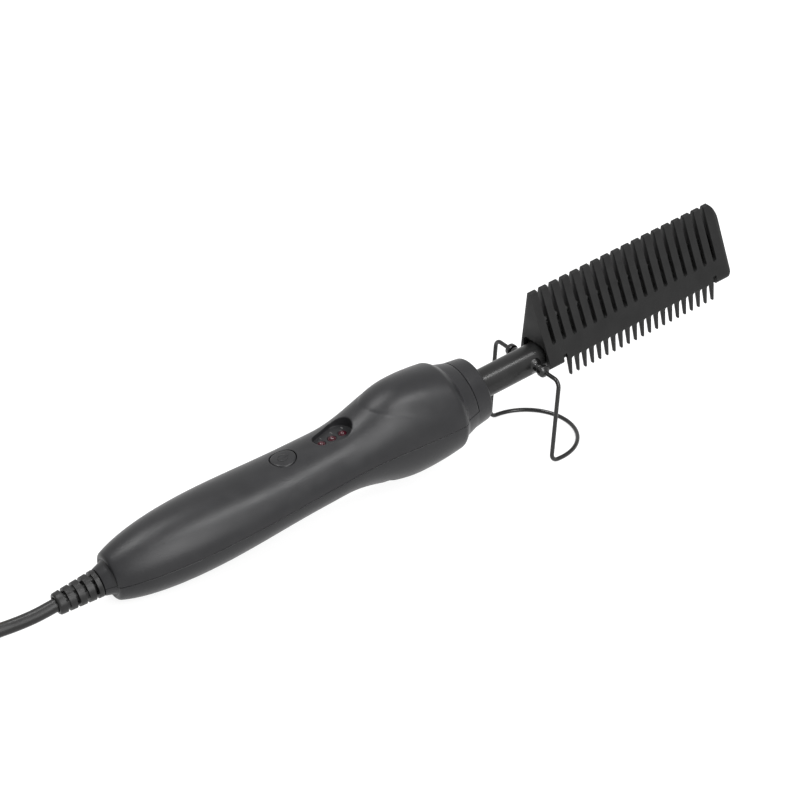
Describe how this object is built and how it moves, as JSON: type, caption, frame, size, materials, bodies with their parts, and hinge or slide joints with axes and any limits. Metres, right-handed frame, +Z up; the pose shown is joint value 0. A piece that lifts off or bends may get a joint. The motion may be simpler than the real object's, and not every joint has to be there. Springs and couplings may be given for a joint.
{
  "type": "electric hot comb",
  "caption": "Electric hot comb: contoured handle with button and lamps, barrel with wedge-shaped comb head and fine side combs, folding wire stand, swivelling strain relief, cord and plug.",
  "frame": {"origin": "centre of the comb's bounding box without its free cord, at the height of the surface that it rests on", "axes": "+X from the handle's tail to the comb head, +Z up, +Y to the left of that direction"},
  "size_m": [0.4481, 0.0732, 0.0817],
  "materials": {
    "handle_plastic": "fine matte texture",
    "head_coating": "matte black coating",
    "black_steel": "satin black",
    "moulded_plastic": "matte",
    "cord_rubber": "satin",
    "lamp_red": "translucent dark red",
    "board_green": "satin",
    "black_component": "matte",
    "blue_component": "gloss",
    "screw_steel": "satin",
    "spreader_aluminium": "satin",
    "ceramic": "semi-matte",
    "brass": "satin",
    "sensor_bead": "gloss",
    "lead_insulation": "satin"
  },
  "bodies": {
    "handle": {"upper_shell": "handle_plastic", "lower_shell": "handle_plastic", "switch_body": "black_component", "control_board": "board_green", "lamp_holder": "black_component", "lamp_1": "lamp_red", "lamp_2": "lamp_red", "lamp_3": "lamp_red", "relay": "blue_component", "capacitor": "black_component", "controller_chip": "black_component", "board_screws": "screw_steel", "shell_screws": "screw_steel", "barrel_tube": "black_steel", "barrel_collar": "ceramic", "barrel_end_cap": "ceramic", "comb_head": "head_coating", "fine_comb_near": "head_coating", "fine_comb_far": "head_coating", "head_screws": "screw_steel", "heater_core": "ceramic", "heat_spreader_upper": "spreader_aluminium", "heat_spreader_lower": "spreader_aluminium", "thermal_fuse": "brass", "temperature_sensor": "sensor_bead", "heater_leads": "lead_insulation", "sensor_leads": "lead_insulation", "supply_leads": "lead_insulation", "pivot_lugs": "black_steel", "contact_block": "brass", "power_cord": "cord_rubber", "cord_hank": "cord_rubber", "hank_tie": "moulded_plastic", "plug_lead": "cord_rubber", "plug_body": "moulded_plastic", "plug_blades": "brass"},
    "button": {"power_button": "handle_plastic", "switch_plunger": "brass"},
    "stand": {"stand_wire": "black_steel", "stand_ferrules": "black_steel"},
    "swivel": {"strain_relief": "moulded_plastic", "swivel_collar": "ceramic", "cord_core": "cord_rubber"}
  },
  "joints": [
    {"name": "button_press", "type": "slide", "parent": "handle", "child": "button", "axis": [0.1326, 0, -0.9912], "range_m": [0, 0.0005], "stiffness_N_per_m": 1500, "springref_m": -0.0006},
    {"name": "stand_fold", "type": "hinge", "parent": "handle", "child": "stand", "pos_m": [0.05932, 0, 0.03795], "axis": [0, 1, 0], "range_deg": [0, 84]},
    {"name": "cord_swivel", "type": "hinge", "parent": "handle", "child": "swivel", "pos_m": [-0.13803, 0, 0.01156], "axis": [0.9912, 0, 0.1326], "continuous": true}
  ]
}
